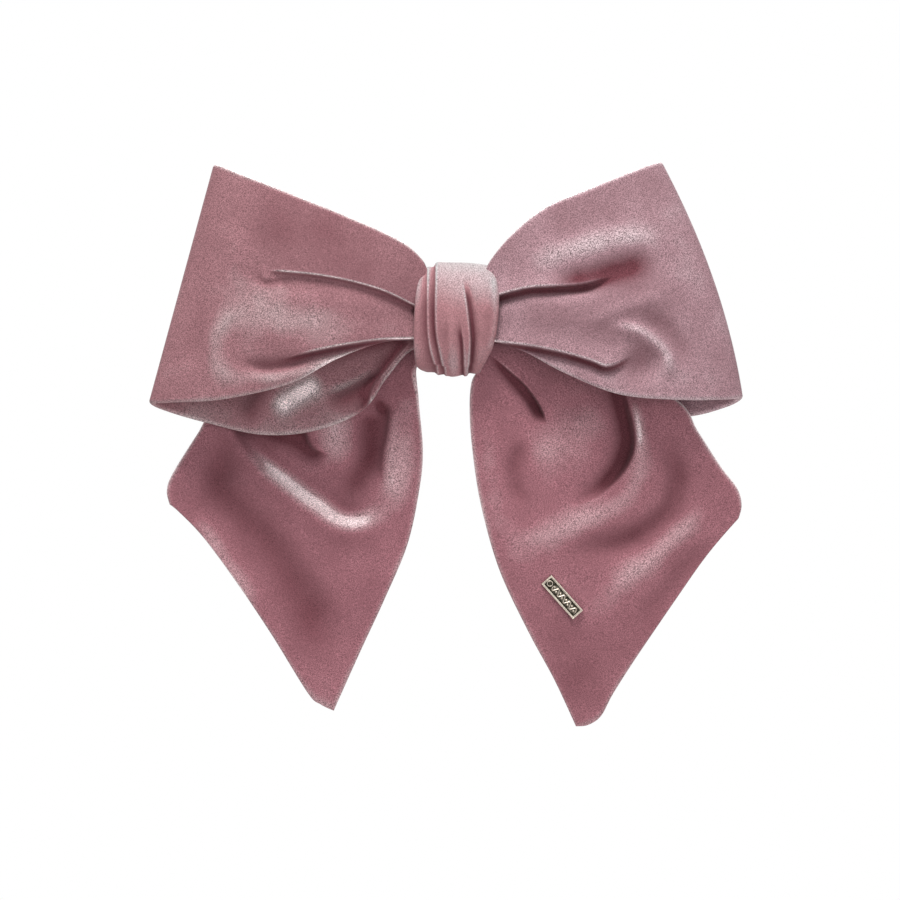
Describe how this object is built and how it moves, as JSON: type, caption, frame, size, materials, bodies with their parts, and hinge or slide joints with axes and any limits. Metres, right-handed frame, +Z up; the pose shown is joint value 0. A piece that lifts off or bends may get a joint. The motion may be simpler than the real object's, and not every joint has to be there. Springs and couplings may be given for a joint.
{
  "type": "barrette",
  "caption": "Hair barrette: a large folded velvet bow with long slanted tails and a gathered knot, lashed to a sprung metal French clip with a hinged arm.",
  "frame": {"origin": "middle of the clip's hair gap, on the bow's centre line", "axes": "+X to the right as the bow is seen from in front, +Y towards the head, +Z up as worn; the bow faces -Y"},
  "size_m": [0.182, 0.0399, 0.172],
  "materials": {
    "velvet": "dusty rose velvet with a short pile",
    "thread": "matching spun thread",
    "clip_steel": "nickel-plated stamping, satin",
    "spring_steel": "nickel-plated spring steel, satin",
    "tag_metal": "pale gilt, polished rim, darkened field"
  },
  "bodies": {
    "bow": {"left_loop": "velvet", "right_loop": "velvet", "left_tail": "velvet", "right_tail": "velvet", "knot_wrap": "velvet", "gather_binding": "thread", "closing_stitch": "thread", "lashing_left": "thread", "lashing_right": "thread", "base_bar": "clip_steel", "hinge_pin": "clip_steel", "tension_spring": "spring_steel", "latch_base": "spring_steel", "latch_rivet": "clip_steel", "tag_plate": "tag_metal", "tag_pin": "tag_metal"},
    "arm": {"clip_arm": "clip_steel"},
    "upper_leaf": {"latch_leaf_upper": "spring_steel"},
    "lower_leaf": {"latch_leaf_lower": "spring_steel"}
  },
  "joints": [
    {"name": "arm_hinge", "type": "hinge", "parent": "bow", "child": "arm", "pos_m": [-0.0395, 0.00369, 0], "axis": [0, 0, 1], "range_deg": [0, 75]},
    {"name": "upper_leaf_pinch", "type": "hinge", "parent": "bow", "child": "upper_leaf", "pos_m": [0.0397, 0.00254, 0.00245], "axis": [-1, 0, 0], "range_deg": [0, 8], "stiffness_Nm_per_rad": 0.05},
    {"name": "lower_leaf_pinch", "type": "hinge", "parent": "bow", "child": "lower_leaf", "pos_m": [0.0397, 0.00254, -0.00245], "axis": [1, 0, 0], "range_deg": [0, 8], "stiffness_Nm_per_rad": 0.05}
  ]
}
